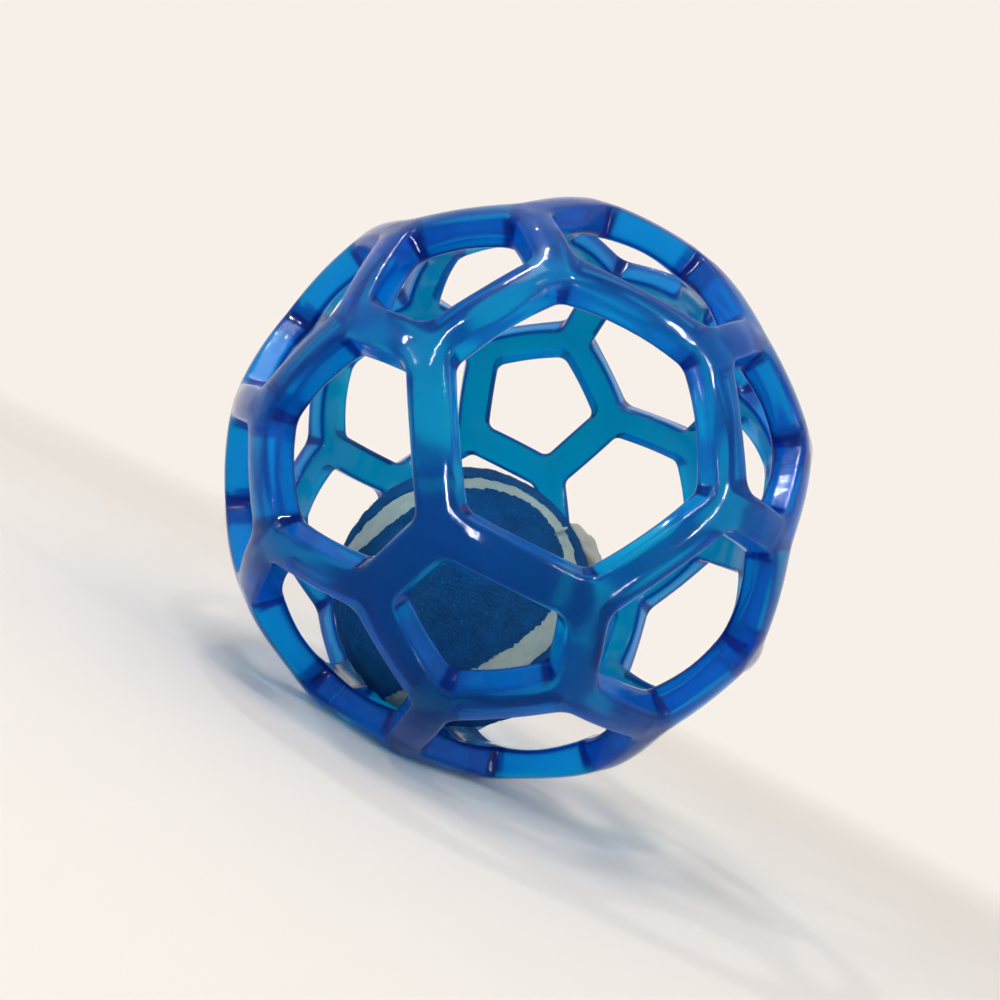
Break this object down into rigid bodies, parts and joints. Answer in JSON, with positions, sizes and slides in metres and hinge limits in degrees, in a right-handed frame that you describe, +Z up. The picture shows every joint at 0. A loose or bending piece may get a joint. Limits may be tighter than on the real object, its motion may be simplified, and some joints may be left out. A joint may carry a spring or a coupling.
{
  "type": "caged dog ball",
  "caption": "Soft see-through lattice ball of pentagon and hexagon openings with a loose felt tennis ball trapped inside, a toy for dogs to roll, carry and chew.",
  "frame": {"origin": "on the ground under the middle of the cage, which stands on the flat rim of one pentagon opening", "axes": "+Z up through the pentagon opposite; -Y towards the wide hexagon opening that the ball goes in by; +X to the right, seen from that opening"},
  "size_m": [0.14, 0.1348, 0.135],
  "materials": {
    "cage_rubber": "glossy translucent blue soft rubber",
    "felt": "blue brushed felt",
    "seam": "matt cream seam",
    "core_rubber": "matt black rubber"
  },
  "bodies": {
    "cage": {"lattice_cage": "cage_rubber"},
    "ball": {"felt_panel_a": "felt", "felt_panel_b": "felt", "seam_band": "seam", "core_half_a": "core_rubber", "core_half_b": "core_rubber"}
  },
  "joints": [
    {"name": "ball_roll", "type": "hinge", "parent": "cage", "child": "ball", "pos_m": [0, -0.00155, 0.0675], "axis": [0, 1, 0], "continuous": true}
  ]
}
